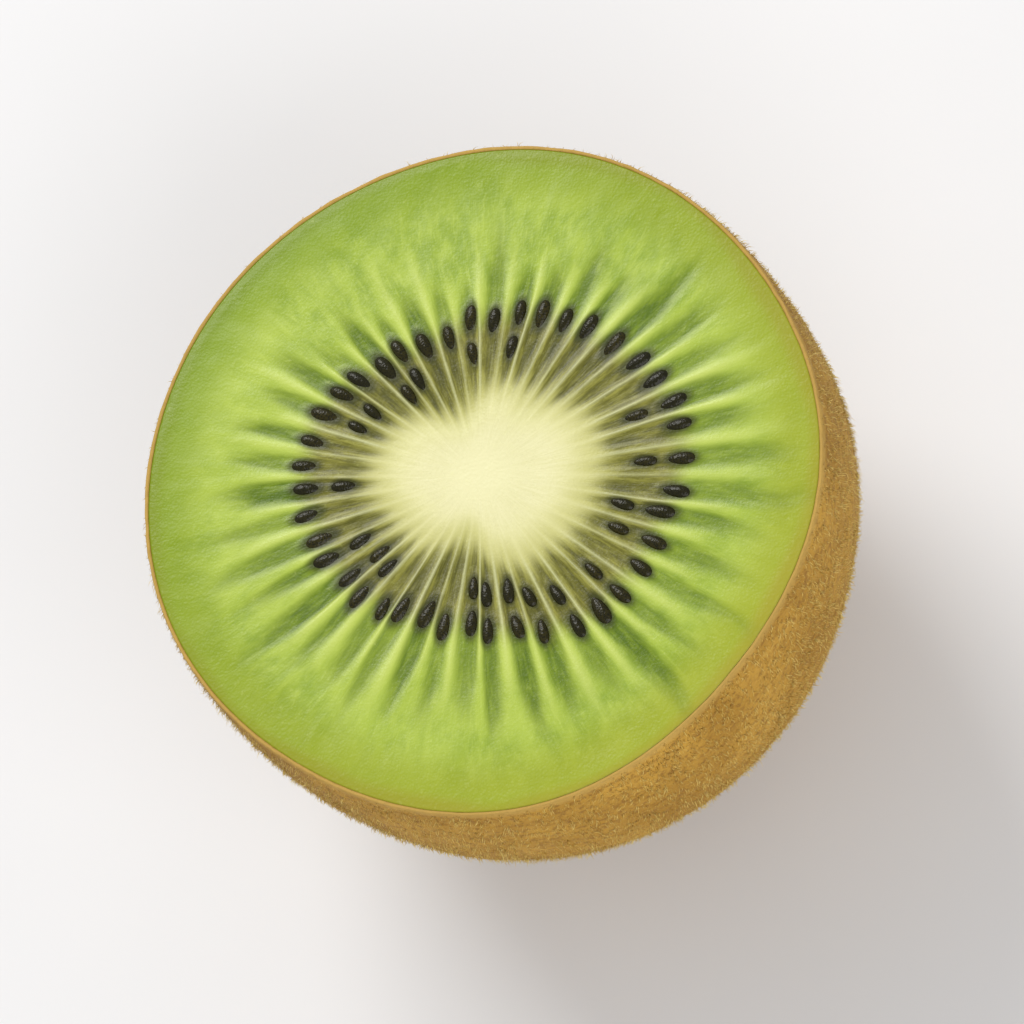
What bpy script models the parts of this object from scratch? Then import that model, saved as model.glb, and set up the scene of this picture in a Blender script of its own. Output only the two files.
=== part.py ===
"""A kiwi fruit cut across its middle, lying on its rounded end with the cut face up.

Units are metres and Z is up. The origin is the middle of the small flat spot that the
half rests on, straight below the middle of the cut face.

The half is one solid: a barrel-shaped dome cut flat a little past its widest place, with
the seeds that stand out of the cut face fused on.
"""
import bmesh
import bpy
import math
import random
from mathutils import Matrix

MM = 0.001

# Driving dimensions of the fruit
FRUIT_LENGTH = 62 * MM
FRUIT_WIDTH = 50.6 * MM
BLUNTNESS = 2.15
REST_SPOT_DEPTH = 0.7 * MM
CUT_ABOVE_WIDEST = 5 * MM
SIDES = 76
RINGS = 34

# Seen from above the outline is slightly uneven: waves round it, height, peak in degrees
OUTLINE_WAVES = ((3, 0.13 * MM, 8), (4, 0.17 * MM, -38))
# Long shallow swells along the skin
SWELL_HEIGHT = 0.12 * MM
SWELLS_ROUND = 5
SWELL_SPACING = 40 * MM

# Seeds lie in a ring round the pale core, one to each of the fruit's thin chambers
CHAMBERS = 42
CHAMBER_SHIFT = math.radians(1.4)
RING_RADIUS = 12.7 * MM
RING_WAVES = ((1, 0.95 * MM, -38), (2, 1.1 * MM, -43), (3, 0.3 * MM, 16), (5, 0.35 * MM, -27))
RING_SHIFT = 0.45 * MM
INNER_RING_STEP = 2.75 * MM
INNER_RING_SHIFT = 0.15 * MM
INNER_SEED_CHANCE = 0.4
MISSING_SEED_CHANCE = 0.07
SEED_LENGTH = 2.3 * MM
SEED_WIDTH = 1.02 * MM
SEED_DEPTH = 0.95 * MM
SEED_STANDS_OUT = 0.22 * MM
SEED_TAPER = 0.35
SEED_TWIST = 9
SEED_SIDES = 6
SEED_RINGS = 4
SEED_RANDOM = 5

SKIN_COLOUR = (0.50, 0.26, 0.07, 1.0)
FLESH_COLOUR = (0.41, 0.56, 0.10, 1.0)
SEED_COLOUR = (0.020, 0.022, 0.010, 1.0)

WIDEST_HEIGHT = FRUIT_LENGTH / 2 - REST_SPOT_DEPTH
CUT_HEIGHT = WIDEST_HEIGHT + CUT_ABOVE_WIDEST


def material(name, colour, roughness):
    """A plain surface with one colour."""
    made = bpy.data.materials.new(name)
    made.use_nodes = True
    shader = made.node_tree.nodes["Principled BSDF"]
    shader.inputs["Base Color"].default_value = colour
    shader.inputs["Roughness"].default_value = roughness
    shader.inputs["Metallic"].default_value = 0.0
    made.diffuse_color = colour
    return made


def waves(angle, terms):
    """Sum of the waves round a circle, at an angle in radians."""
    return sum(height * math.cos(count * (angle - math.radians(peak)))
               for count, height, peak in terms)


def radius_at(height):
    """The fruit's radius at a height, from a rounded oblong with blunt ends."""
    along = abs(height - WIDEST_HEIGHT) / (FRUIT_LENGTH / 2)
    return FRUIT_WIDTH / 2 * (1 - along ** BLUNTNESS) ** (1 / BLUNTNESS)


def side_profile():
    """Points (radius, height) down one side: top middle, cut rim, skin, foot, bottom middle."""
    half_length = FRUIT_LENGTH / 2
    top = math.asin((CUT_HEIGHT - WIDEST_HEIGHT) / half_length)
    foot = math.asin(WIDEST_HEIGHT / half_length)
    points = [(0.0, CUT_HEIGHT)]
    for step in range(RINGS + 1):
        level = top - (top + foot) * step / RINGS
        height = WIDEST_HEIGHT + half_length * math.sin(level)
        points.append((radius_at(height), height))
    points.append((0.0, 0.0))
    return points


def turned(name, points, collection):
    """The profile turned round Z as a closed mesh object."""
    mesh = bpy.data.meshes.new(name)
    line = [(index, index + 1) for index in range(len(points) - 1)]
    mesh.from_pydata([(across, 0.0, height) for across, height in points], line, [])
    body = bpy.data.objects.new(name, mesh)
    collection.objects.link(body)
    turn = body.modifiers.new("turn", "SCREW")
    turn.axis = "Z"
    turn.angle = math.tau
    turn.steps = SIDES
    turn.render_steps = SIDES
    turn.use_merge_vertices = True
    turn.merge_threshold = 0.00001
    bpy.context.view_layer.update()
    graph = bpy.context.evaluated_depsgraph_get()
    body.data = bpy.data.meshes.new_from_object(body.evaluated_get(graph))
    body.modifiers.clear()
    body.data.name = name
    bpy.data.meshes.remove(mesh)
    return body


def fruit_half(collection):
    """The dome with its cut face, a little uneven as a fruit is."""
    body = turned("kiwi_half", side_profile(), collection)
    for point in body.data.vertices:
        across = math.hypot(point.co.x, point.co.y)
        if across == 0.0:
            continue
        angle = math.atan2(point.co.y, point.co.x)
        swell = SWELL_HEIGHT * math.sin(SWELLS_ROUND * angle + math.tau * point.co.z / SWELL_SPACING)
        wider = 1 + (waves(angle, OUTLINE_WAVES) + swell) / (FRUIT_WIDTH / 2)
        point.co.x *= wider
        point.co.y *= wider
    body.data.materials.append(material("skin", SKIN_COLOUR, 0.8))
    body.data.materials.append(material("flesh", FLESH_COLOUR, 0.3))
    for face in body.data.polygons:
        face.material_index = 1 if face.center.z > CUT_HEIGHT - 0.01 * MM else 0
    return body


def seed_mesh():
    """A seed with few sides, 1 long along X, 1 wide and 1 deep, its inner end narrower."""
    shape = bmesh.new()
    lying = Matrix.Rotation(math.radians(90), 4, "Y")
    bmesh.ops.create_uvsphere(
        shape, u_segments=SEED_SIDES, v_segments=SEED_RINGS, radius=0.5, matrix=lying)
    for point in shape.verts:
        taper = 1 + SEED_TAPER * point.co.x
        point.co.y *= taper
        point.co.z *= taper
    mesh = bpy.data.meshes.new("seed")
    shape.to_mesh(mesh)
    shape.free()
    mesh.materials.append(material("seed", SEED_COLOUR, 0.35))
    return mesh


def seed_places():
    """Angle, distance from the middle, size and twist of each seed, chamber by chamber."""
    draw = random.Random(SEED_RANDOM)
    places = []
    for chamber in range(CHAMBERS):
        angle = (chamber + 0.5) / CHAMBERS * math.tau - math.pi + CHAMBER_SHIFT * draw.uniform(-1, 1)
        distance = RING_RADIUS + waves(angle, RING_WAVES) + RING_SHIFT * draw.uniform(-1, 1)
        twist = math.radians(draw.uniform(-SEED_TWIST, SEED_TWIST))
        size = draw.uniform(0.86, 1.1)
        inner_size = draw.uniform(0.72, 0.9)
        inner_step = INNER_RING_STEP + INNER_RING_SHIFT * draw.uniform(-1, 1)
        has_inner = draw.random() < INNER_SEED_CHANCE
        has_outer = draw.random() > MISSING_SEED_CHANCE
        if has_outer:
            places.append((angle, distance, size, twist))
        if has_inner:
            places.append((angle, distance - inner_step, inner_size, -twist))
    return places


def add_seeds(scene_collection):
    """The seeds as single bodies in a collection, each sunk in the cut face."""
    collection = bpy.data.collections.new("seeds")
    scene_collection.children.link(collection)
    mesh = seed_mesh()
    for number, (angle, distance, size, twist) in enumerate(seed_places()):
        seed = bpy.data.objects.new(f"seed_{number:02d}", mesh)
        height = CUT_HEIGHT + SEED_STANDS_OUT - size * SEED_DEPTH / 2
        seed.location = (distance * math.cos(angle), distance * math.sin(angle), height)
        seed.rotation_euler = (0, 0, angle + twist)
        seed.scale = (size * SEED_LENGTH, size * SEED_WIDTH, size * SEED_DEPTH)
        collection.objects.link(seed)
    return collection


def fuse(body, collection):
    """Join the collection's bodies to the body as one solid, and remove them."""
    join = body.modifiers.new("seeds", "BOOLEAN")
    join.operation = "UNION"
    join.operand_type = "COLLECTION"
    join.collection = collection
    join.solver = "EXACT"
    join.material_mode = "TRANSFER"
    bpy.context.view_layer.update()
    graph = bpy.context.evaluated_depsgraph_get()
    joined = bpy.data.meshes.new_from_object(body.evaluated_get(graph))
    body.modifiers.clear()
    body.data = joined
    joined.name = body.name
    for item in list(collection.objects):
        bpy.data.objects.remove(item, do_unlink=True)
    bpy.data.collections.remove(collection)


def main():
    for item in list(bpy.data.objects):
        bpy.data.objects.remove(item, do_unlink=True)
    scene_collection = bpy.context.scene.collection
    collection = bpy.data.collections.new("kiwi_fruit_half")
    scene_collection.children.link(collection)
    half = fruit_half(collection)
    fuse(half, add_seeds(scene_collection))
    half.data.shade_smooth()
    half.data.set_sharp_from_angle(angle=math.radians(35))


main()
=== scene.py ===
import math
import random

import bpy
import numpy as np
from mathutils import Matrix, Vector, noise


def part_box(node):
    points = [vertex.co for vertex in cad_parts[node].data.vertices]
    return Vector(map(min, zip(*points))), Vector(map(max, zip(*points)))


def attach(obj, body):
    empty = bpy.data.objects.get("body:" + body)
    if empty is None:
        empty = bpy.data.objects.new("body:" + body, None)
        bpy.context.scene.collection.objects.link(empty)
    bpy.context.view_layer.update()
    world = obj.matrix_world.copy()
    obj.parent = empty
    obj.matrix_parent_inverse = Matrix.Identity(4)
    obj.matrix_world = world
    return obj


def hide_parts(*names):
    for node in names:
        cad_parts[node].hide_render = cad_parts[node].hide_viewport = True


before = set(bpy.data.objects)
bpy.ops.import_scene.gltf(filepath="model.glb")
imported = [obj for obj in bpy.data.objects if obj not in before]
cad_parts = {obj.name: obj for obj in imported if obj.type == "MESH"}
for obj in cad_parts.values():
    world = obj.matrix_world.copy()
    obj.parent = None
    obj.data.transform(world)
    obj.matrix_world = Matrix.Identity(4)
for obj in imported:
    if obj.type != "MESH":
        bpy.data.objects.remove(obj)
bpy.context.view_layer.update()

# A kiwi fruit half on its rounded end: wet green flesh with a cream core and a ring of dark
# seeds, a thin brown skin, and short hairs all over the skin. Lengths are in metres.

MM = 0.001
NODE = "kiwi_half"
BODY = "root"
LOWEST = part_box(NODE)[0]

# The fruit's form, as the solid has it
FRUIT_LENGTH = 62 * MM
FRUIT_WIDTH = 50.6 * MM
BLUNTNESS = 2.15
REST_SPOT_DEPTH = 0.7 * MM
CUT_ABOVE_WIDEST = 5 * MM
OUTLINE_WAVES = ((3, 0.13 * MM, 8), (4, 0.17 * MM, -38))
SWELL_HEIGHT = 0.12 * MM
SWELLS_ROUND = 5
SWELL_SPACING = 40 * MM
WIDEST_HEIGHT = FRUIT_LENGTH / 2 - REST_SPOT_DEPTH
CUT_HEIGHT = WIDEST_HEIGHT + CUT_ABOVE_WIDEST
HALF_WIDTH = FRUIT_WIDTH / 2

# The ring of seeds, as the solid has it
CHAMBERS = 42
CHAMBER_SHIFT = math.radians(1.4)
RING_RADIUS = 12.7 * MM
RING_WAVES = ((1, 0.95 * MM, -38), (2, 1.1 * MM, -43), (3, 0.3 * MM, 16), (5, 0.35 * MM, -27))
RING_SHIFT = 0.45 * MM
INNER_RING_STEP = 2.75 * MM
INNER_RING_SHIFT = 0.15 * MM
INNER_SEED_CHANCE = 0.4
MISSING_SEED_CHANCE = 0.07
SEED_LENGTH = 2.3 * MM
SEED_WIDTH = 1.02 * MM
SEED_DEPTH = 0.95 * MM
SEED_STANDS_OUT = 0.22 * MM
SEED_TWIST = 9
SEED_RANDOM = 5

# The core's outline has soft lobes
CORE_RADIUS = 5.9 * MM
CORE_WAVES = ((1, 0.74 * MM, -34), (2, 1.25 * MM, -42), (3, 0.42 * MM, 19), (5, 0.42 * MM, -30),
              (7, 0.25 * MM, -11))
# How far the chambers' dark ends reach past the ring, in mm, and further on one side
SHORT_REACH = (6.8, 9.6)
LONG_REACH = (9.4, 11.5)
LONG_CHANCE = 0.12
REACH_WAVES = ((1, 2.0 * MM, -118), (2, 1.1 * MM, -24))
# A chamber's half width and its lean are shares of the turn from one chamber to the next
CHAMBER_HALF_WIDTH = (0.28, 0.42)
CHAMBER_LEAN = 0.07
CHAMBER_DARKNESS = (0.6, 1.0)
WALL_STRENGTH = (0.35, 1.0)
# The paler flesh round a wall ends this far past the ring, in mm
RAY_LENGTH = (3.5, 9.0)

# Seeds that only show through the flesh: how many, their size, how far from the ring in mm,
# and how dark
BURIED_SEEDS = 2 * CHAMBERS
BURIED_SIZE = (2.4 * MM, 1.0 * MM)
BURIED_PLACE = (-4.4, 0.6)
BURIED_DARKNESS = (0.2, 0.6)

# Relief of the cut face
BROAD_RELIEF = 0.07 * MM
FIBRE_RELIEF = 0.035 * MM
GRAIN_RELIEF = 0.007 * MM
CORE_RISE = 0.14 * MM
CHAMBER_DEPTH = 0.10 * MM
WALL_RISE = 0.05 * MM
RAY_RISE = 0.02 * MM
SEED_MOUND = 0.045 * MM
RIM_DROP = 0.03 * MM

SKIN_THICKNESS = 0.26 * MM
SKIN_LUMPS = ((260, 6.0, 0.09 * MM), (900, 7.0, 0.035 * MM))
PATTERN_RANDOM = 11

# Hairs: how many, how long and thick, how far they lean from the skin's normal in radians,
# the random seed, and whether they bend
DOWN = {"count": 46000, "length": 0.40 * MM, "thickness": 0.024 * MM, "lean": 0.85, "seed": 21,
        "bent": False}
FUZZ = {"count": 19000, "length": 0.60 * MM, "thickness": 0.027 * MM, "lean": 0.7, "seed": 22,
        "bent": True}

# Camera
CAMERA_HEIGHT_DEG = 66
CAMERA_ROLL_DEG = 41
CAMERA_LENS = 280
FRAME_WIDTH = 74 * MM
SENSOR = 36
LOOK_AT = Vector((0.0, -1.0 * MM, 29 * MM))

FLOOR_SIZE = 6.0
LIGHTS_FACE = Vector((0, 0, 20 * MM))


def srgb(red, green, blue):
    """A colour given as it shows on a screen, 0 to 255, as linear light with alpha 1."""
    def linear(value):
        value /= 255
        return value / 12.92 if value <= 0.04045 else ((value + 0.055) / 1.055) ** 2.4
    return (linear(red), linear(green), linear(blue), 1.0)


def waves(angle, terms):
    """Sum of the waves round a circle, at angles in radians."""
    return sum(height * np.cos(count * (angle - math.radians(peak)))
               for count, height, peak in terms)


def smooth(low, high, value):
    """0 below low, 1 above high, and a smooth step between them."""
    step = np.clip((value - low) / (high - low), 0, 1)
    return step * step * (3 - 2 * step)


def radius_at(height):
    along = np.clip(np.abs(height - WIDEST_HEIGHT) / (FRUIT_LENGTH / 2), 0, 1)
    return HALF_WIDTH * (1 - along ** BLUNTNESS) ** (1 / BLUNTNESS)


def skin_radius(angle, height):
    """Distance of the fruit's outer surface from its axis."""
    swell = SWELL_HEIGHT * np.sin(SWELLS_ROUND * angle + math.tau * height / SWELL_SPACING)
    return radius_at(height) * (1 + (waves(angle, OUTLINE_WAVES) + swell) / HALF_WIDTH)


def noise_at(points, scale, seed=0.0, octaves=3):
    """Soft noise from -1 to 1 at an array of places; scale is in features per metre."""
    shift = Vector((seed * 3.7, seed * 1.9, seed * 5.3))
    return np.array([noise.fractal(Vector(p) * scale + shift, 1.0, 2.0, octaves) for p in points])


def seed_places():
    """Angle, distance from the middle, size and twist of each seed, as in the solid."""
    draw = random.Random(SEED_RANDOM)
    places = []
    for chamber in range(CHAMBERS):
        angle = (chamber + 0.5) / CHAMBERS * math.tau - math.pi + CHAMBER_SHIFT * draw.uniform(-1, 1)
        distance = RING_RADIUS + float(waves(angle, RING_WAVES)) + RING_SHIFT * draw.uniform(-1, 1)
        twist = math.radians(draw.uniform(-SEED_TWIST, SEED_TWIST))
        size = draw.uniform(0.86, 1.1)
        inner_size = draw.uniform(0.72, 0.9)
        inner_step = INNER_RING_STEP + INNER_RING_SHIFT * draw.uniform(-1, 1)
        has_inner = draw.random() < INNER_SEED_CHANCE
        has_outer = draw.random() > MISSING_SEED_CHANCE
        if has_outer:
            places.append((angle, distance, size, twist))
        if has_inner:
            places.append((angle, distance - inner_step, inner_size, -twist))
    return places


class Look:
    """A node material: short calls that add a node and return its output."""

    def __init__(self, name, **values):
        self.material = bpy.data.materials.new(name)
        self.material.use_nodes = True
        self.tree = self.material.node_tree
        self.shader = self.tree.nodes["Principled BSDF"]
        for socket, value in values.items():
            self.shader.inputs[socket.replace("_", " ")].default_value = value

    def node(self, kind, **settings):
        made = self.tree.nodes.new(kind)
        for key, value in settings.items():
            setattr(made, key, value)
        return made

    def put(self, socket, value):
        if isinstance(value, bpy.types.NodeSocket):
            self.tree.links.new(value, socket)
        elif value is not None:
            socket.default_value = value

    def attribute(self, name, output="Fac"):
        return self.node("ShaderNodeAttribute", attribute_name=name).outputs[output]

    def place(self):
        return self.node("ShaderNodeTexCoord").outputs["Object"]

    def math(self, operation, first, second):
        made = self.node("ShaderNodeMath", operation=operation)
        for socket, value in zip(made.inputs, (first, second)):
            self.put(socket, value)
        return made.outputs[0]

    def times(self, first, second):
        return self.math("MULTIPLY", first, second)

    def plus(self, first, second):
        return self.math("ADD", first, second)

    def noise(self, vector, scale, detail=2.0, roughness=0.5):
        made = self.node("ShaderNodeTexNoise")
        self.put(made.inputs["Vector"], vector)
        made.inputs["Scale"].default_value = scale
        made.inputs["Detail"].default_value = detail
        made.inputs["Roughness"].default_value = roughness
        return made.outputs["Fac"]

    def outwards(self, stretch):
        """Places by direction round the middle and distance out, for patterns that run outwards."""
        around = self.node("ShaderNodeVectorMath", operation="NORMALIZE")
        self.put(around.inputs[0], self.attribute("around", "Vector"))
        out = self.node("ShaderNodeCombineXYZ")
        self.put(out.inputs["Z"], self.times(self.attribute("out"), stretch))
        both = self.node("ShaderNodeVectorMath", operation="ADD")
        self.put(both.inputs[0], around.outputs[0])
        self.put(both.inputs[1], out.outputs[0])
        return both.outputs[0]

    def cells(self, vector, scale):
        """Distance from the nearest of many scattered points."""
        made = self.node("ShaderNodeTexVoronoi")
        self.put(made.inputs["Vector"], vector)
        made.inputs["Scale"].default_value = scale
        return made.outputs["Distance"]

    def span(self, value, low, high, start=0.0, end=1.0):
        """The value carried from low..high to start..end, held at both ends."""
        made = self.node("ShaderNodeMapRange", interpolation_type="SMOOTHSTEP")
        for socket, given in zip(made.inputs, (value, low, high, start, end)):
            self.put(socket, given)
        return made.outputs[0]

    def mix(self, share, first, second):
        """The first colour at share 0, the second at share 1."""
        made = self.node("ShaderNodeMix", data_type="RGBA")
        self.put(made.inputs["Factor"], share)
        self.put(made.inputs[6], first)
        self.put(made.inputs[7], second)
        return made.outputs[2]

    def bump(self, height, distance, strength):
        made = self.node("ShaderNodeBump")
        made.inputs["Strength"].default_value = strength
        made.inputs["Distance"].default_value = distance
        self.put(made.inputs["Height"], height)
        return made.outputs["Normal"]

    def finish(self, colour, roughness=None, normal=None):
        for name, value in (("Base Color", colour), ("Roughness", roughness), ("Normal", normal)):
            self.put(self.shader.inputs[name], value)
        return self.material


def add_piece(name, mesh, look):
    """A mesh object in the scene that stands for the solid and moves with it."""
    piece = bpy.data.objects.new(name, mesh)
    bpy.context.scene.collection.objects.link(piece)
    mesh.materials.append(look)
    mesh.shade_smooth()
    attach(piece, BODY)
    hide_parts(NODE)


def mesh_from(name, points, faces, values, vectors=None):
    """A mesh from arrays of points and faces, with named values and vectors at its points."""
    mesh = bpy.data.meshes.new(name)
    mesh.from_pydata([tuple(p) for p in points], [], faces)
    for key, data in values.items():
        layer = mesh.attributes.new(key, "FLOAT", "POINT")
        layer.data.foreach_set("value", np.asarray(data, np.float32))
    for key, data in (vectors or {}).items():
        layer = mesh.attributes.new(key, "FLOAT_VECTOR", "POINT")
        layer.data.foreach_set("vector", np.asarray(data, np.float32).ravel())
    mesh.update()
    return mesh


def ring_faces(counts):
    """Faces between rings of points, each ring with as many points as the last, twice or half.

    A ring of one point is a middle. Rings are numbered from the top middle outwards and down."""
    faces, start = [], 0
    for here, after in zip(counts, counts[1:]):
        there = start + here
        if here == 1:
            faces += [(start, there + i, there + (i + 1) % after) for i in range(after)]
        elif after == 1:
            faces += [(start + (i + 1) % here, start + i, there) for i in range(here)]
        elif after == here:
            faces += [(start + i, there + i, there + (i + 1) % here, start + (i + 1) % here)
                      for i in range(here)]
        elif after == 2 * here:
            for i in range(here):
                a, b = start + i, start + (i + 1) % here
                c, d, e = there + 2 * i, there + 2 * i + 1, there + (2 * i + 2) % after
                faces += [(a, c, d), (a, d, b), (b, d, e)]
        else:
            for i in range(after):
                c, d = there + i, there + (i + 1) % after
                a, b, e = start + 2 * i, start + 2 * i + 1, start + (2 * i + 2) % here
                faces += [(a, c, b), (b, c, d), (b, d, e)]
        start = there
    return faces


# The cut face, ring by ring: points round the ring, first and last radius, and step, as shares
# of the rim's radius
FACE_BANDS = (
    (CHAMBERS, 0.006, 0.018, 0.006),
    (CHAMBERS * 2, 0.026, 0.058, 0.008),
    (CHAMBERS * 4, 0.068, 0.16, 0.009),
    (CHAMBERS * 8, 0.168, 0.37, 0.0075),
    (CHAMBERS * 16, 0.375, 0.76, 0.0062),
    (CHAMBERS * 16, 0.766, 0.955, 0.0095),
    (CHAMBERS * 16, 0.96, 0.999, 0.0048),
)


def chamber_values(draw):
    """Each chamber's reach past the ring, half width, darkness, wall, ray length and lean."""
    def one_each(span):
        return np.array([draw.uniform(*span) for _ in range(CHAMBERS)])

    long_ones = [draw.random() < LONG_CHANCE for _ in range(CHAMBERS)]
    reach = [draw.uniform(*(LONG_REACH if is_long else SHORT_REACH)) for is_long in long_ones]
    width, dark = one_each(CHAMBER_HALF_WIDTH), one_each(CHAMBER_DARKNESS)
    wall, ray = one_each(WALL_STRENGTH), one_each(RAY_LENGTH)
    lean = one_each((-CHAMBER_LEAN, CHAMBER_LEAN))
    return np.array(reach) * MM, width, dark, wall, ray * MM, lean


def chamber_turn(phase, lean):
    """How far the pattern turns, in chambers, so that each chamber's middle runs through its seed."""
    shift = [0.0] * CHAMBERS
    for seed_angle, *_ in seed_places():
        place = (seed_angle + math.pi) / math.tau * CHAMBERS
        shift[int(place)] = place - int(place) - 0.5
    knots = np.arange(2 * CHAMBERS + 1) / 2
    turns = np.array([value for pair in zip(lean, shift) for value in pair] + [lean[0]])
    return np.interp(phase, knots, turns)


def from_seed(x, y, angle, distance, length, width, lying):
    """Distance of each point from a seed's middle, 1 at the seed's outline."""
    dx, dy = x - distance * math.cos(angle), y - distance * math.sin(angle)
    along = (dx * math.cos(lying) + dy * math.sin(lying)) / (length / 2)
    aside = (-dx * math.sin(lying) + dy * math.cos(lying)) / (width / 2)
    return np.hypot(along, aside)


def face_grid():
    """Points in each ring of the cut face, then each point's share of the rim's radius and angle."""
    counts, shares, angles = [1], [np.zeros(1)], [np.zeros(1)]
    for count, first, last, step in FACE_BANDS:
        for share in np.arange(first, last + step * 0.5, step):
            counts.append(count)
            shares.append(np.full(count, share))
            angles.append(np.arange(count) / count * math.tau - math.pi)
    return counts, np.concatenate(shares), np.concatenate(angles)


def seed_marks(x, y, from_core, draw):
    """How dark the flesh is at each point from the seeds in it, and how far it rises beside them."""
    dark_spot, mound = np.zeros_like(x), np.zeros_like(x)
    for angle, distance, size, twist in seed_places():
        away = from_seed(x, y, angle, distance, size * SEED_LENGTH, size * SEED_WIDTH, angle + twist)
        dark_spot = np.maximum(dark_spot, smooth(1.7, 0.9, away))
        mound = np.maximum(mound, smooth(1.9, 1.1, away))
    for _ in range(BURIED_SEEDS):
        place = draw.randrange(CHAMBERS) + 0.5 + draw.uniform(-0.15, 0.15)
        angle = place / CHAMBERS * math.tau - math.pi
        ring = RING_RADIUS + float(waves(angle, RING_WAVES))
        away = from_seed(x, y, angle, ring + draw.uniform(*BURIED_PLACE) * MM, *BURIED_SIZE, angle)
        dark_spot = np.maximum(dark_spot, draw.uniform(*BURIED_DARKNESS) * smooth(1.5, 0.2, away))
    return dark_spot * smooth(-0.3 * MM, 1.2 * MM, from_core), mound


def flesh_sides():
    """Points in each ring down the flesh's hidden side, and the points, the bottom middle last."""
    gap = 0.04 * MM
    side = [(CUT_HEIGHT - 0.25 * MM, CHAMBERS * 16, 0.0), (CUT_HEIGHT - 0.45 * MM, CHAMBERS * 16, gap / 2)]
    side += [(CUT_HEIGHT - 1.2 * MM, CHAMBERS * 8, gap), (CUT_HEIGHT - 2.5 * MM, CHAMBERS * 4, gap)]
    levels = np.linspace(CUT_HEIGHT - 5 * MM, SKIN_THICKNESS + 1.2 * MM, 22)
    side += [(level, CHAMBERS * 2, gap) for level in levels]
    counts, points = [], []
    for level, count, inset in side:
        around = np.arange(count) / count * math.tau - math.pi
        out = np.maximum(skin_radius(around, level) - SKIN_THICKNESS - inset, 1 * MM)
        points.append(np.stack([out * np.cos(around), out * np.sin(around), np.full(count, level)], 1))
        counts.append(count)
    points.append(np.array([[0, 0, SKIN_THICKNESS + 0.9 * MM]]))
    return counts + [1], np.concatenate(points)


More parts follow.
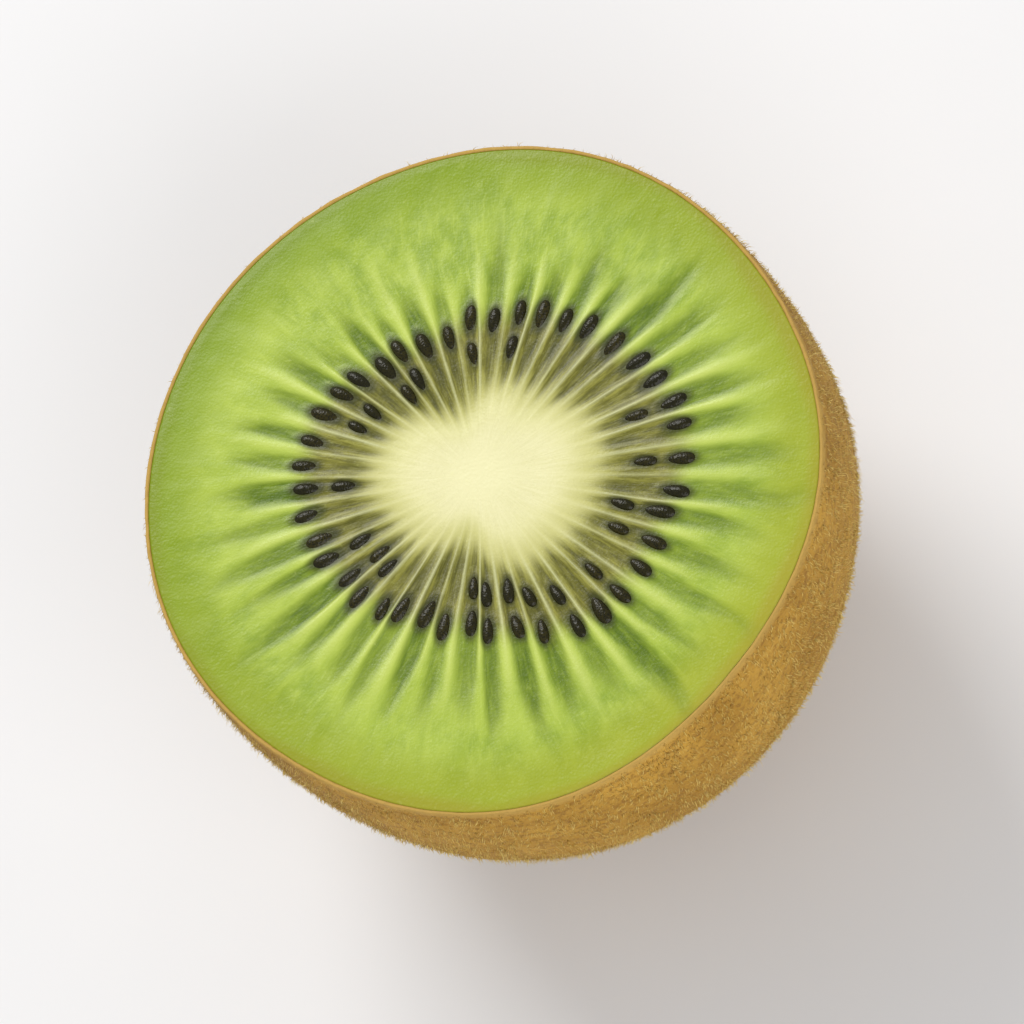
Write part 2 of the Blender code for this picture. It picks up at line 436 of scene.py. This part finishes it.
def make_flesh():
    """The flesh: a closed body with a finely modelled cut face and a plain hidden underside."""
    draw = random.Random(PATTERN_RANDOM)
    reach, width, dark, wall, ray, lean = chamber_values(draw)

    counts, share, angle = face_grid()

    rim = skin_radius(angle, CUT_HEIGHT) - SKIN_THICKNESS
    r = share * rim
    from_ring = r - RING_RADIUS - waves(angle, RING_WAVES)
    from_core = r - CORE_RADIUS - waves(angle, CORE_WAVES) * smooth(0, 5 * MM, r)

    phase = (angle + math.pi) / math.tau * CHAMBERS
    chamber = np.floor(phase + 1e-6).astype(int) % CHAMBERS
    across = phase - np.floor(phase + 1e-6) - 0.5
    nearest = np.round(phase).astype(int) % CHAMBERS
    off_wall = np.abs(phase - np.round(phase))

    # the walls waver a little, more outside the ring
    bend = 0.20 * MM * np.sin(3 * angle + r / (3.4 * MM))
    bend += 0.12 * MM * np.sin(9 * angle - r / (1.9 * MM))
    turn = bend * smooth(0.35, 1.0, share) / np.maximum(r, 1 * MM)
    turn += chamber_turn(phase, lean) * math.tau / CHAMBERS
    turn *= smooth(1.0, 0.9, share)
    x = r * np.cos(angle + turn)
    y = r * np.sin(angle + turn)

    flat = np.stack([x, y, np.zeros_like(x)], 1)
    broad = noise_at(flat, 90, 1.0)
    direction = np.stack([np.cos(angle), np.sin(angle), np.zeros_like(r)], 1)
    fine = noise_at(direction * 13 + (0, 0, 1) * (r / (4.5 * MM))[:, None], 1.0, 2.0, 2)
    grain = noise_at(flat, 1500, 3.0, 2)

    # a chamber is a long drop: narrow at the core, widest at the seeds, fading out to a point
    outer = np.clip(from_ring / (reach[chamber] + waves(angle, REACH_WAVES)) + 0.10 * fine, 0, 1)
    inner = np.clip(-from_ring / (5.5 * MM), 0, 1)
    half = width[chamber] * (1 - 0.8 * outer ** 1.5) * (1 - 0.5 * inner)
    soft = 0.10 + 0.12 * outer
    chamber_mask = smooth(soft, -soft, np.abs(across) - half) * smooth(1.0, 0.42, outer)
    chamber_mask *= smooth(0.1 * MM, 2.4 * MM, from_core) * dark[chamber]

    # a wall is a pale line between chambers that starts at the core and fades towards the rim
    wall_width = 0.10 + 0.07 * smooth(0, 6 * MM, from_ring)
    wall_mask = smooth(wall_width, 0.0, off_wall) * wall[nearest]
    wall_mask *= smooth(ray[nearest], ray[nearest] * 0.2, from_ring)
    wall_mask *= smooth(-0.6 * MM, 2.4 * MM, from_core)
    # a ray is the paler flesh round a wall outside the seeds
    ray_half = 0.42 * (1 - 0.55 * smooth(0, 1, from_ring / ray[nearest]))
    ray_mask = smooth(ray_half, 0.0, off_wall) * smooth(-1 * MM, 1.2 * MM, from_ring)
    ray_mask *= smooth(ray[nearest] * 1.1, ray[nearest] * 0.2, from_ring) * (0.4 + 0.6 * wall[nearest])
    spike = 0.7 * MM * smooth(0.25, 0.0, off_wall)
    core_mask = smooth(2.2 * MM, -1.6 * MM, from_core + 0.45 * MM * fine - spike)

    dark_spot, mound = seed_marks(x, y, from_core, draw)

    near_rim = smooth(1.0, 0.9, share)
    height = BROAD_RELIEF * broad * near_rim + GRAIN_RELIEF * grain
    height += FIBRE_RELIEF * fine * smooth(0.3, 0.5, share) * near_rim
    height += CORE_RISE * smooth(1.0 * MM, -1.4 * MM, from_core) - CHAMBER_DEPTH * chamber_mask
    height += WALL_RISE * wall_mask + RAY_RISE * ray_mask + SEED_MOUND * mound
    height -= RIM_DROP * smooth(0.97, 1.0, share)

    side_counts, side_points = flesh_sides()
    counts += side_counts
    points = np.concatenate([np.stack([x, y, CUT_HEIGHT + height], 1), side_points])
    rest = len(points) - len(r)

    def padded(data, value=0.0):
        return np.concatenate([data, np.full(rest, value)])

    below = points[len(r):]
    values = {
        "out": np.concatenate([r, CUT_HEIGHT + HALF_WIDTH - below[:, 2]]) / (10 * MM),
        "share": padded(share, 1.0),
        "core": padded(core_mask),
        "from_core": padded(from_core / MM, 20.0),
        "inside": padded(smooth(1.6 * MM, -1.2 * MM, from_ring + 0.5 * MM * fine)),
        "chamber": padded(chamber_mask),
        "wall": padded(wall_mask),
        "ray": padded(ray_mask),
        "buried": padded(dark_spot),
        "broad": padded(broad),
        "upper": padded(0.5 + 0.5 * np.cos(angle - math.radians(98))),
    }
    vectors = {"around": np.concatenate([direction, below * (1, 1, 0) / HALF_WIDTH])}
    mesh = mesh_from("flesh", points, ring_faces(counts), values, vectors)
    add_piece("flesh", mesh, flesh_look())


def flesh_look():
    look = Look("flesh", Roughness=0.36, IOR=1.4, Specular_IOR_Level=0.35, Coat_Weight=0.12,
                Coat_Roughness=0.16)
    share = look.attribute("share")
    inside = look.attribute("inside")
    from_core = look.attribute("from_core")
    broad = look.attribute("broad")
    upper = look.attribute("upper")
    place = look.place()

    fibres = look.noise(look.outwards(0.12), 46, 3.0, 0.62)
    threads = look.noise(look.outwards(0.10), 120, 2.0, 0.6)
    streaks = look.noise(look.outwards(0.30), 15, 2.0, 0.5)
    mottle = look.noise(place, 300, 3.0, 0.6)
    flecks = look.noise(place, 1500, 3.0, 0.65)
    grains = look.cells(place, 4600)

    # flesh between the ring and the rim, deeper green towards the rim
    flesh = look.mix(look.span(streaks, 0.34, 0.68), srgb(136, 161, 50), srgb(159, 181, 64))
    flesh = look.mix(look.span(mottle, 0.42, 0.74, 0.0, 0.5), flesh, srgb(171, 190, 78))
    flesh = look.mix(look.span(fibres, 0.50, 0.74, 0.0, 0.4), flesh, srgb(182, 200, 90))
    flesh = look.mix(look.span(threads, 0.50, 0.70, 0.0, 0.22), flesh, srgb(190, 208, 96))
    flesh = look.mix(look.span(broad, 0.0, 0.45, 0.0, 0.45), flesh, srgb(179, 198, 80))
    rim_green = look.mix(upper, srgb(158, 167, 40), srgb(116, 143, 5))
    flesh = look.mix(look.span(share, 0.78, 0.95, 0.0, 0.8), flesh, rim_green)
    edge = look.span(look.plus(share, look.times(broad, 0.03)), 0.945, 0.995, 0.0, 0.8)
    flesh = look.mix(edge, flesh, look.mix(upper, srgb(162, 154, 46), srgb(112, 136, 2)))
    flesh = look.mix(look.times(look.attribute("ray"), 0.8), flesh, srgb(192, 208, 98))

    # the zone between the core and the seeds, pale beside the core
    inner = look.mix(look.span(fibres, 0.36, 0.66), srgb(110, 108, 40), srgb(148, 146, 66))
    inner = look.mix(look.span(from_core, 0.4, 3.4, 0.75, 0.0), inner, srgb(196, 194, 116))
    colour = look.mix(inside, flesh, inner)

    # chambers: olive inside the ring, deep green at their outer ends
    end = look.mix(look.span(fibres, 0.35, 0.7), srgb(79, 104, 10), srgb(111, 134, 24))
    filled = look.mix(look.span(fibres, 0.3, 0.7), srgb(76, 76, 20), srgb(116, 114, 42))
    colour = look.mix(look.attribute("chamber"), colour, look.mix(inside, end, filled))
    colour = look.mix(look.times(look.attribute("buried"), 0.8), colour, srgb(42, 46, 12))
    line = look.mix(inside, srgb(194, 208, 110), srgb(200, 202, 150))
    colour = look.mix(look.times(look.attribute("wall"), 0.85), colour, line)

    # the core, plain in its very middle where the fibres meet
    meeting = look.span(share, 0.02, 0.16)
    pith = look.mix(look.times(meeting, look.span(fibres, 0.3, 0.7)),
                    srgb(229, 225, 176), srgb(222, 218, 164))
    pith = look.mix(look.span(from_core, -3.0, 0.5, 0.0, 0.6), pith, srgb(210, 208, 136))
    colour = look.mix(look.attribute("core"), colour, pith)
    speck = look.times(look.span(flecks, 0.60, 0.78), 0.14)
    colour = look.mix(speck, colour, srgb(226, 232, 150))

    threads = look.times(threads, look.times(meeting, look.span(share, 0.5, 0.8, 0.5, 0.26)))
    fleck_height = look.times(look.noise(place, 3000, 2.0, 0.6), 0.45)
    height = look.plus(look.plus(threads, look.times(grains, 0.3)), fleck_height)
    normal = look.bump(height, 0.0001, 0.5)
    rough = look.plus(0.24, look.times(mottle, 0.24))
    return look.finish(colour, rough, normal)


def make_seeds():
    """Dark drop-shaped seeds, all in one mesh, each sunk in the flesh as in the solid."""
    sides, rows = 20, 14
    counts = [1] + [sides] * (rows - 1) + [1]
    one_faces = ring_faces(counts)
    points, faces, tone = [], [], []
    draw = random.Random(SEED_RANDOM + 1)
    for angle, distance, size, twist in seed_places():
        start = sum(len(p) for p in points)
        turn = angle + twist
        plump = draw.uniform(0.94, 1.08)
        local = [(0.5, 0.0, 0.0)]
        for row in range(1, rows):
            level = math.pi * row / rows
            along = 0.5 * math.cos(level)
            girth = 0.5 * math.sin(level) ** 0.85 * (1 + 0.42 * along)
            for side in range(sides):
                around = math.tau * side / sides
                local.append((along, girth * math.cos(around), girth * math.sin(around)))
        local.append((-0.54, 0.0, 0.0))
        local = np.array(local) * (size * SEED_LENGTH, size * SEED_WIDTH * plump, size * SEED_DEPTH)
        height = CUT_HEIGHT + SEED_STANDS_OUT - size * SEED_DEPTH / 2
        x = local[:, 0] * math.cos(turn) - local[:, 1] * math.sin(turn) + distance * math.cos(angle)
        y = local[:, 0] * math.sin(turn) + local[:, 1] * math.cos(turn) + distance * math.sin(angle)
        points.append(np.stack([x, y, local[:, 2] + height], 1))
        faces += [tuple(start + index for index in face) for face in one_faces]
        tone += [draw.random()] * len(local)
    mesh = mesh_from("seeds", np.concatenate(points), faces, {"tone": tone})
    add_piece("seeds", mesh, seed_look())


def seed_look():
    look = Look("seeds", Roughness=0.27, IOR=1.45, Specular_IOR_Level=0.3)
    place = look.place()
    pits = look.cells(place, 6500)
    tone = look.attribute("tone")
    colour = look.mix(tone, srgb(32, 31, 4), srgb(58, 52, 8))
    colour = look.mix(look.span(pits, 0.2, 0.7, 0.0, 0.6), srgb(22, 21, 3), colour)
    return look.finish(colour, None, look.bump(pits, 0.00005, 0.5))


def skin_rings():
    """Heights of the rings of the skin's outer surface, from the rim down to the foot."""
    half = FRUIT_LENGTH / 2
    top = math.asin((CUT_HEIGHT + 0.02 * MM - WIDEST_HEIGHT) / half)
    foot = math.asin(WIDEST_HEIGHT / half)
    return [WIDEST_HEIGHT + half * math.sin(top - (top + foot) * step / 120) for step in range(121)]


def make_skin():
    """The skin: a thin closed shell, finely modelled outside, whose upper edge shows as a line."""
    sides, inner_sides = 440, 220
    points, counts = [], []

    def add_ring(count, height, inset, edge=0.0):
        around = np.arange(count) / count * math.tau - math.pi
        out = skin_radius(around, np.full(count, height)) - inset
        z = np.full(count, height)
        if edge:
            places = np.stack([np.cos(around), np.sin(around), np.zeros(count)], 1)
            out = out + 0.08 * MM * edge * noise_at(places, 14, 4.0)
            z = z + 0.04 * MM * edge * noise_at(places, 9, 5.0)
        points.append(np.stack([out * np.cos(around), out * np.sin(around), z], 1))
        counts.append(count)

    # inner side from the bottom middle up to the cut edge, over it, and down the outer side
    points.append(np.array([[0, 0, SKIN_THICKNESS + 0.3 * MM]]))
    counts.append(1)
    for height in np.linspace(SKIN_THICKNESS + 0.5 * MM, CUT_HEIGHT - 1.0 * MM, 24):
        add_ring(inner_sides, height, SKIN_THICKNESS - 0.02 * MM)
    add_ring(sides, CUT_HEIGHT - 0.25 * MM, SKIN_THICKNESS - 0.02 * MM)
    add_ring(sides, CUT_HEIGHT - 0.12 * MM, SKIN_THICKNESS + 0.06 * MM)
    add_ring(sides, CUT_HEIGHT + 0.01 * MM, SKIN_THICKNESS * 0.85, 0.7)
    add_ring(sides, CUT_HEIGHT + 0.05 * MM, SKIN_THICKNESS * 0.5, 1.0)
    add_ring(sides, CUT_HEIGHT + 0.02 * MM, SKIN_THICKNESS * 0.12, 0.8)
    first_outer = sum(counts)
    for height in skin_rings()[1:]:
        add_ring(sides, height, 0.0)
    points.append(np.array([[0, 0, 0]]))
    counts.append(1)
    points = np.concatenate(points)

    outer = points[first_outer:-1]
    angle = np.arctan2(outer[:, 1], outer[:, 0])
    away = np.hypot(outer[:, 0], outer[:, 1])
    lump = sum(noise_at(outer, scale, seed) * height for scale, seed, height in SKIN_LUMPS)
    lump *= smooth(0.3 * MM, 2.5 * MM, outer[:, 2])
    lump *= smooth(CUT_HEIGHT, CUT_HEIGHT - 1.5 * MM, outer[:, 2])
    outer[:, 0] = (away + lump) * np.cos(angle)
    outer[:, 1] = (away + lump) * np.sin(angle)
    points[first_outer:-1] = outer
    lip = smooth(CUT_HEIGHT - 0.7 * MM, CUT_HEIGHT - 0.1 * MM, points[:, 2])
    foot = smooth(4.5 * MM, 1.5 * MM, np.hypot(points[:, 0], points[:, 1]))
    mesh = mesh_from("skin", points, ring_faces(counts), {"lip": lip, "foot": foot})
    add_piece("skin", mesh, skin_look())


def skin_look():
    look = Look("skin", Roughness=0.75, IOR=1.4, Specular_IOR_Level=0.3)
    place = look.place()
    patches = look.noise(place, 120, 4.0, 0.6)
    speckle = look.noise(place, 1900, 3.0, 0.65)
    pores = look.cells(place, 1300)
    colour = look.mix(look.span(patches, 0.35, 0.68), srgb(165, 123, 43), srgb(194, 150, 61))
    colour = look.mix(look.span(speckle, 0.44, 0.70, 0.0, 0.65), colour, srgb(124, 83, 29))
    colour = look.mix(look.span(pores, 0.0, 0.22, 0.5, 0.0), colour, srgb(90, 60, 22))
    colour = look.mix(look.times(look.attribute("foot"), 0.7), colour, srgb(84, 56, 26))
    colour = look.mix(look.times(look.attribute("lip"), 0.8), colour, srgb(190, 156, 84))
    height = look.plus(look.times(speckle, 0.7), look.times(pores, 0.5))
    return look.finish(colour, None, look.bump(height, 0.00018, 0.8))


def skin_frame(angle, height):
    """Points on the skin, their outward normals, and the directions down and round the skin."""
    step = 0.02 * MM

    def at(a, h):
        out = skin_radius(a, h)
        return np.stack([out * np.cos(a), out * np.sin(a), h], 1)

    here = at(angle, height)
    down = at(angle, height - step) - here
    around = at(angle + step / HALF_WIDTH, height) - here
    down /= np.linalg.norm(down, axis=1, keepdims=True)
    around /= np.linalg.norm(around, axis=1, keepdims=True)
    normal = np.cross(down, around)
    normal /= np.linalg.norm(normal, axis=1, keepdims=True)
    return here, normal, down, around


def hair_faces(rows):
    """Faces of a three-sided hair with its point last: its foot, its sides, and its tip."""
    faces = [(0, 2, 1)]
    last = 3 * (rows - 1)
    for side in range(3):
        after = (side + 1) % 3
        for row in range(0, last, 3):
            faces.append((row + side, row + after, row + after + 3))
            faces.append((row + side, row + after + 3, row + side + 3))
        faces.append((last + side, last + after, last + 3))
    return faces


def make_hairs(name, look, count, length, thickness, lean, seed, bent):
    """Short hairs on the skin, three-sided and pointed, straight or bent, all in one mesh."""
    draw = np.random.default_rng(seed)
    heights = np.linspace(0.15 * MM, CUT_HEIGHT - 0.1 * MM, 400)
    slope = np.gradient(radius_at(heights), heights)
    band = radius_at(heights) * np.sqrt(1 + slope ** 2)
    total = np.concatenate([[0], np.cumsum((band[1:] + band[:-1]) / 2)])
    height = np.interp(draw.random(count) * total[-1], total, heights)
    angle = draw.random(count) * math.tau - math.pi
    here, normal, down, around = skin_frame(angle, height)

    clump = noise_at(here, 700, seed + 1.5, 2)
    long = length * (0.6 + 0.7 * draw.random(count) + 0.35 * clump)
    flow = noise_at(here, 130, seed + 0.5, 2)[:, None] * 1.2
    tilt = np.clip(lean + 0.25 * draw.standard_normal(count), 0.1, 1.25)[:, None]
    swirl = draw.uniform(-0.9, 0.9, count)[:, None] + flow
    along = np.cos(swirl) * down + np.sin(swirl) * around
    rise = np.cos(tilt) * normal + np.sin(tilt) * along
    root = here - normal * 0.08 * MM
    rings = [(root, 1.0)]
    tip = root + rise * long[:, None]
    if bent:
        over = np.minimum(tilt + 0.55, 1.45)
        middle = root + rise * (long * 0.55)[:, None]
        tip = middle + (np.cos(over) * normal + np.sin(over) * along) * (long * 0.5)[:, None]
        rings.append((middle, 0.72))
    keep = (tip[:, 2] > 0.15 * MM) & (root[:, 2] > 0.1 * MM) & (tip[:, 2] < CUT_HEIGHT + 0.3 * MM)

    side_a = np.cross(rise, normal)
    side_a /= np.maximum(np.linalg.norm(side_a, axis=1, keepdims=True), 1e-9)
    side_b = np.cross(rise, side_a)
    thick = thickness * draw.uniform(0.75, 1.25, count)[:, None]
    corners = []
    for centre, width in rings:
        for corner in range(3):
            turn = math.tau * corner / 3
            corners.append(centre + thick * width * (math.cos(turn) * side_a + math.sin(turn) * side_b))
    hair = np.stack(corners + [tip], 1)[keep]
    points_each = len(corners) + 1
    starts = np.arange(len(hair))[:, None, None] * points_each
    faces = (np.array(hair_faces(len(rings)))[None] + starts).reshape(-1, 3).tolist()
    tone = np.clip(0.5 + 0.6 * clump + 0.7 * (draw.random(count) - 0.5), 0, 1)[keep]
    along_hair = [0.5 * row for row in range(len(rings)) for _ in range(3)] + [1.0]
    values = {"tone": np.repeat(tone, points_each), "tip": np.tile(along_hair, len(hair))}
    add_piece(name, mesh_from(name, hair.reshape(-1, 3), faces, values), look)


def hair_look(name, root, dark, light):
    look = Look(name, Roughness=0.6, IOR=1.4, Specular_IOR_Level=0.25)
    colour = look.mix(look.attribute("tone"), dark, light)
    colour = look.mix(look.span(look.attribute("tip"), 0.0, 0.7, 0.65, 0.0), colour, root)
    return look.finish(colour)


def make_floor():
    """A pale floor at the solid's lowest point."""
    bpy.ops.mesh.primitive_plane_add(size=FLOOR_SIZE, location=(0, 0, LOWEST.z))
    floor = bpy.context.object
    floor.name = "floor"
    look = Look("floor", Roughness=0.55)
    grain = look.noise(look.place(), 40, 2.0)
    floor.data.materials.append(look.finish(look.mix(grain, srgb(226, 226, 228), srgb(230, 230, 232))))


def add_light(name, size, power, angle_deg, height_deg, distance, colour):
    """A square soft light that faces the half, placed by its direction seen from the half."""
    data = bpy.data.lights.new(name, "AREA")
    data.shape = "SQUARE"
    data.size = size
    data.energy = power
    data.color = colour
    light = bpy.data.objects.new(name, data)
    turn, rise = math.radians(angle_deg), math.radians(height_deg)
    towards = Vector((math.cos(turn) * math.cos(rise), math.sin(turn) * math.cos(rise), math.sin(rise)))
    light.location = towards * distance + LIGHTS_FACE
    light.rotation_euler = towards.to_track_quat("Z", "Y").to_euler()
    bpy.context.scene.collection.objects.link(light)


def make_lights():
    add_light("key", 0.32, 2.45, 84, 44, 0.6, (1.0, 0.99, 0.96))
    add_light("fill", 0.7, 3.6, -92, 33, 0.8, (1.0, 0.99, 0.97))
    world = bpy.data.worlds.new("studio")
    bpy.context.scene.world = world
    world.use_nodes = True
    back = world.node_tree.nodes["Background"]
    back.inputs["Color"].default_value = (1.0, 1.0, 1.0, 1.0)
    back.inputs["Strength"].default_value = 0.5


def make_camera():
    data = bpy.data.cameras.new("camera")
    data.lens = CAMERA_LENS
    data.sensor_width = SENSOR
    camera = bpy.data.objects.new("camera", data)
    rise = math.radians(CAMERA_HEIGHT_DEG)
    away = Vector((0, -math.cos(rise), math.sin(rise)))
    distance = FRAME_WIDTH / 2 / math.tan(math.atan(SENSOR / 2 / CAMERA_LENS))
    facing = away.to_track_quat("Z", "Y").to_matrix().to_4x4()
    roll = Matrix.Rotation(math.radians(-CAMERA_ROLL_DEG), 4, "Z")
    camera.matrix_world = Matrix.Translation(LOOK_AT + away * distance) @ facing @ roll
    bpy.context.scene.collection.objects.link(camera)
    bpy.context.scene.camera = camera
    bpy.context.scene.view_settings.view_transform = "Standard"


make_camera()
make_flesh()
make_seeds()
make_skin()
make_hairs("down", hair_look("down", srgb(110, 77, 26), srgb(178, 133, 48), srgb(251, 223, 126)), **DOWN)
make_hairs("fuzz", hair_look("fuzz", srgb(118, 83, 28), srgb(192, 149, 57), srgb(252, 229, 140)), **FUZZ)
make_floor()
make_lights()
